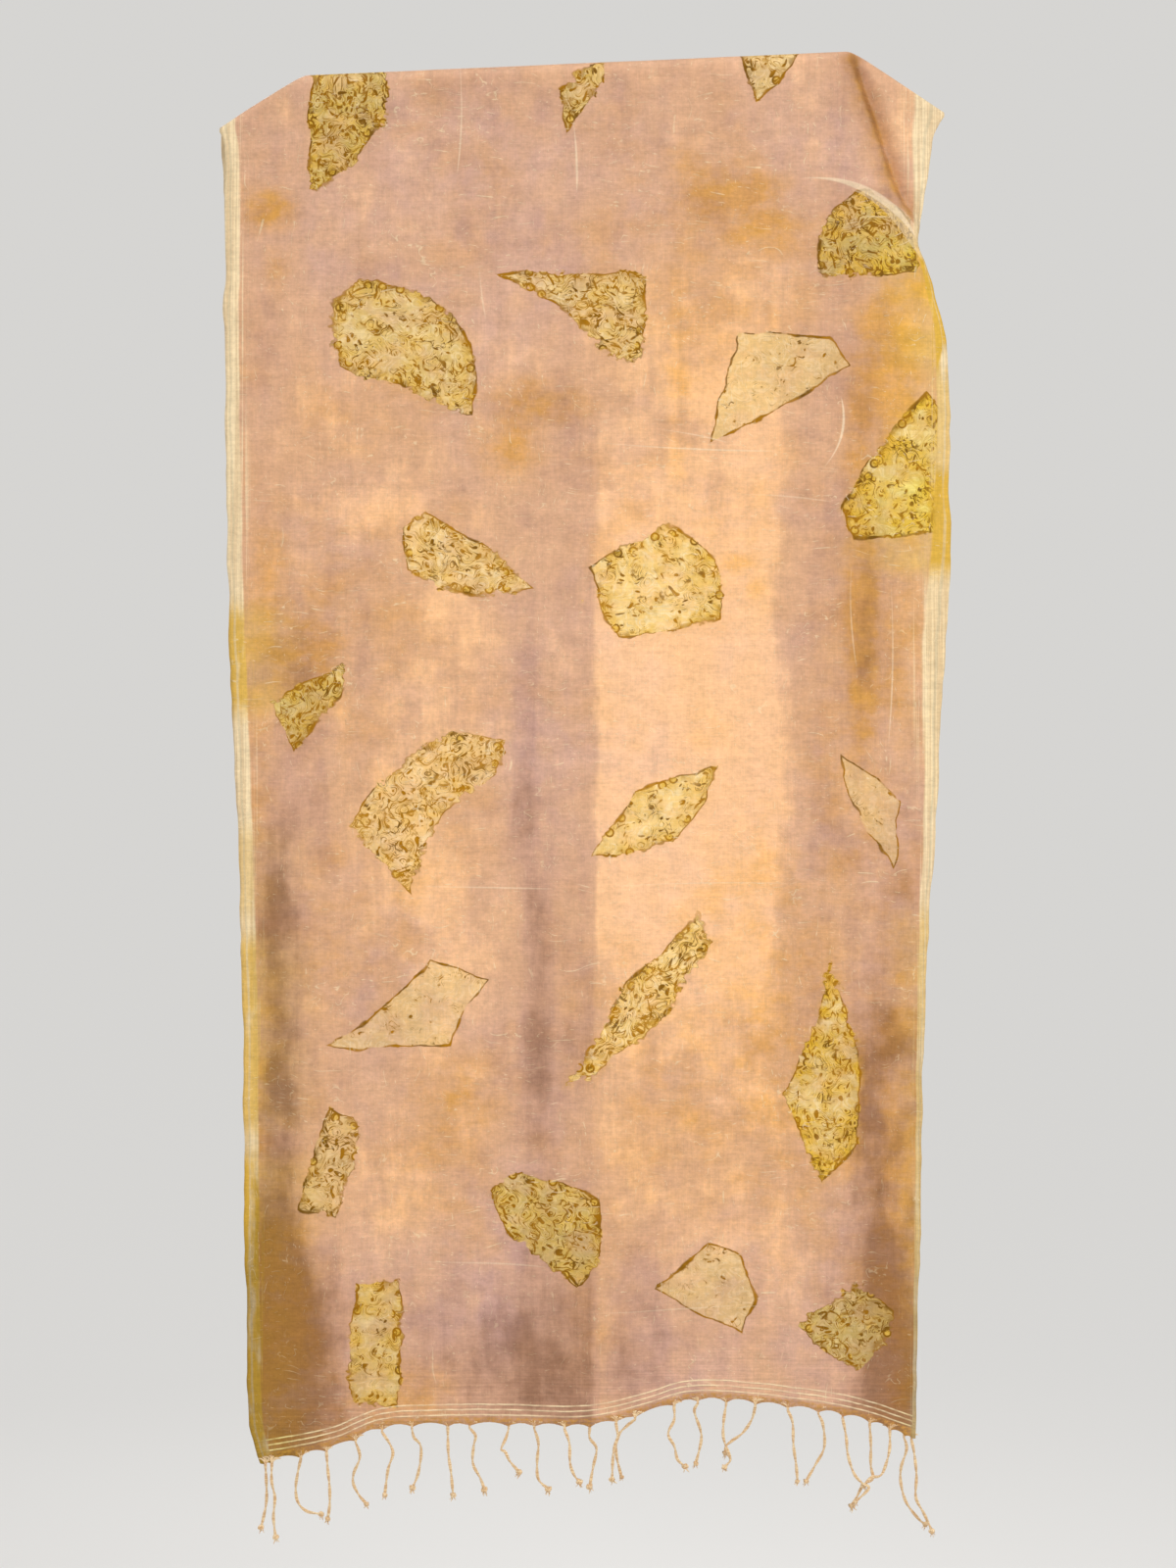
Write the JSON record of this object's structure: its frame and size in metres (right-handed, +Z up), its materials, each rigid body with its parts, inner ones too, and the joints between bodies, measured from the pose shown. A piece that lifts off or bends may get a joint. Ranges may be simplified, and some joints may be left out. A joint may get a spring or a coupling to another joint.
{
  "type": "eco printed silk stole over a bar",
  "caption": "Hand dyed silk stole with leaf fragment prints, cream selvedges and knotted fringes, draped over a plain round bar.",
  "frame": {"origin": "middle of the bar's flat underside, where a stand or bracket holds it", "axes": "+Z up, -Y out of the front half towards the viewer, +X to the viewer's right; the bar rises by 2.5 degrees towards +X"},
  "size_m": [0.5421, 0.0443, 1.1023],
  "materials": {
    "bar_wood": "plain turned wood with a soft satin finish",
    "printed_silk": "light plain weave silk with slubs, soft sheen, peach and mauve plant dye, olive edged leaf fragments and tan stains",
    "fringe_yarn": "twisted silk warp ends with a knot at each tip"
  },
  "bodies": {
    "root": {"bar": "bar_wood", "stole": "printed_silk", "fringe_front": "fringe_yarn", "fringe_back": "fringe_yarn"}
  },
  "joints": []
}
